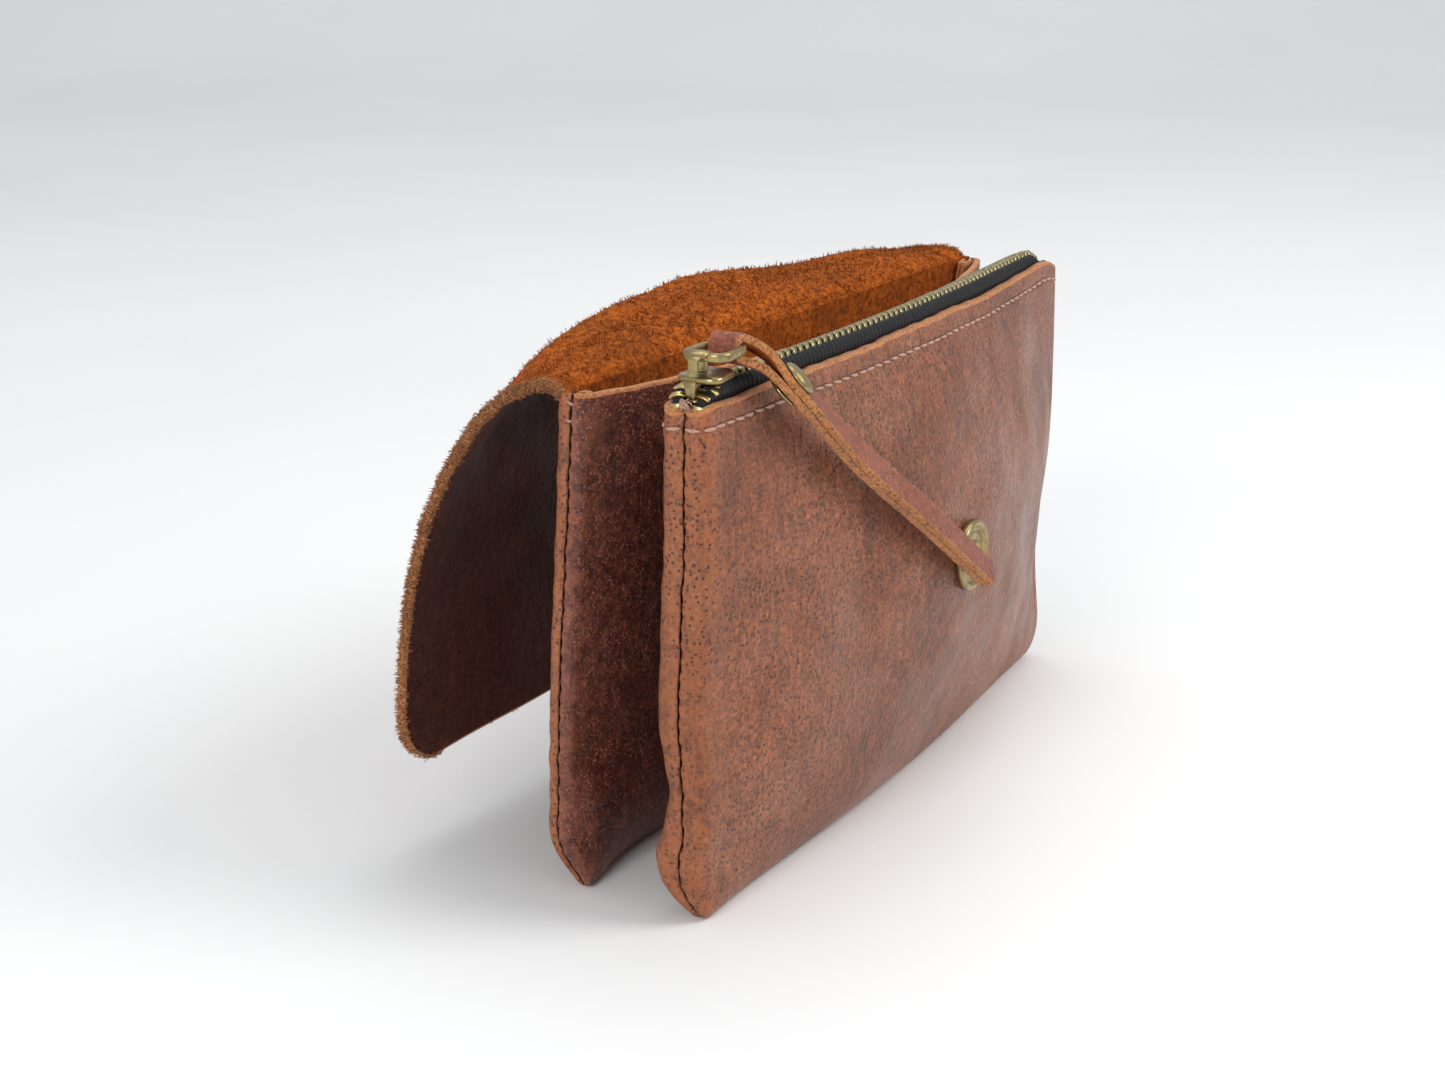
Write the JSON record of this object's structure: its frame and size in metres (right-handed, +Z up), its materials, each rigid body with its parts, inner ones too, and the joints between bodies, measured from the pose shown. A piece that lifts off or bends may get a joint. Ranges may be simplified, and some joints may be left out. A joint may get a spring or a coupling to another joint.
{
  "type": "zippered pouch",
  "caption": "Leather double pouch: a zip-top front pouch and an open rear pocket whose back panel runs on as a fold-over snap flap.",
  "frame": {"origin": "on the flat bottom of the zipped front pouch, under its mid width", "axes": "+X along the width, from the puller end to the far end; the front panel faces -Y; +Z up, out of the mouths"},
  "size_m": [0.19, 0.1043, 0.1184],
  "materials": {
    "zip_leather": "waxed pull-up grain, semi-gloss, with scuffs",
    "pocket_leather": "waxed pull-up grain, darker in shade",
    "flap_suede": "raw fibrous flesh side",
    "strap_leather": "waxed grain with raw cut edges",
    "zipper_tape": "woven twill, matt",
    "antique_brass": "antiqued, rubbed bright on edges",
    "thread": "twisted polyester thread"
  },
  "bodies": {
    "pouch": {"zip_front_panel": "zip_leather", "zip_back_panel": "zip_leather", "zipper_tape_front": "zipper_tape", "zipper_tape_back": "zipper_tape", "zipper_teeth_front": "antique_brass", "zipper_teeth_back": "antique_brass", "zipper_far_stop": "antique_brass", "zipper_near_bar_tack": "thread", "rim_thread_front": "thread", "rim_thread_back": "thread", "front_snap": "antique_brass", "front_snap_washer": "antique_brass", "pocket_front_panel": "pocket_leather", "pocket_back_panel": "pocket_leather", "pouch_join_thread": "thread"},
    "flap_root_stretch": {"flap_1": "flap_suede"},
    "flap_second_stretch": {"flap_2": "flap_suede"},
    "flap_third_stretch": {"flap_3": "flap_suede"},
    "flap_fourth_stretch": {"flap_4": "flap_suede"},
    "flap_snap_stretch": {"flap_5": "flap_suede", "flap_snap_stud": "antique_brass", "flap_snap_cap": "antique_brass"},
    "slider": {"slider_body": "antique_brass", "slider_crown": "antique_brass"},
    "ring": {"pull_ring": "antique_brass"},
    "strap": {"puller_strap": "strap_leather", "rivet_cap": "antique_brass", "rivet_shank": "antique_brass", "rivet_back_cap": "antique_brass"}
  },
  "joints": [
    {"name": "flap_hinge", "type": "hinge", "parent": "pouch", "child": "flap_root_stretch", "pos_m": [0, 0.02975, 0.1058], "axis": [0.999, -0.0454, 0], "range_deg": [0, 140]},
    {"name": "flap_fold_2", "type": "hinge", "parent": "flap_root_stretch", "child": "flap_second_stretch", "pos_m": [0.00095, 0.05065, 0.10763], "axis": [0.999, -0.0454, 0], "range_deg": [0, 85]},
    {"name": "flap_fold_3", "type": "hinge", "parent": "flap_second_stretch", "child": "flap_third_stretch", "pos_m": [0.0016, 0.06496, 0.09227], "axis": [0.999, -0.0454, 0], "range_deg": [0, 104]},
    {"name": "flap_fold_4", "type": "hinge", "parent": "flap_third_stretch", "child": "flap_fourth_stretch", "pos_m": [0.00192, 0.07197, 0.06932], "axis": [0.999, -0.0454, 0], "range_deg": [0, 37]},
    {"name": "flap_fold_5", "type": "hinge", "parent": "flap_fourth_stretch", "child": "flap_snap_stretch", "pos_m": [0.00199, 0.07364, 0.04538], "axis": [0.999, -0.0454, 0], "range_deg": [0, 17]},
    {"name": "zip_slide", "type": "slide", "parent": "pouch", "child": "slider", "axis": [1, 0, 0], "range_m": [0, 0.165], "deforming": ["zipper_teeth_front", "zipper_teeth_back", "zipper_tape_front", "zipper_tape_back", "puller_strap", "rivet_cap", "rivet_shank", "rivet_back_cap"]},
    {"name": "ring_hinge", "type": "hinge", "parent": "slider", "child": "ring", "pos_m": [-0.0926, 0.00245, 0.1155], "axis": [0, -1, 0], "range_deg": [0, 180]},
    {"name": "strap_hinge", "type": "hinge", "parent": "ring", "child": "strap", "pos_m": [-0.0822, 0.00145, 0.1155], "axis": [0, -1, 0], "range_deg": [0, 130]}
  ],
  "couplings": [
    {"joint": "flap_fold_2", "follows": "flap_hinge", "ratio": 0.5714},
    {"joint": "flap_fold_3", "follows": "flap_hinge", "ratio": 0.7071},
    {"joint": "flap_fold_4", "follows": "flap_hinge", "ratio": 0.2285},
    {"joint": "flap_fold_5", "follows": "flap_hinge", "ratio": 0.0857}
  ]
}
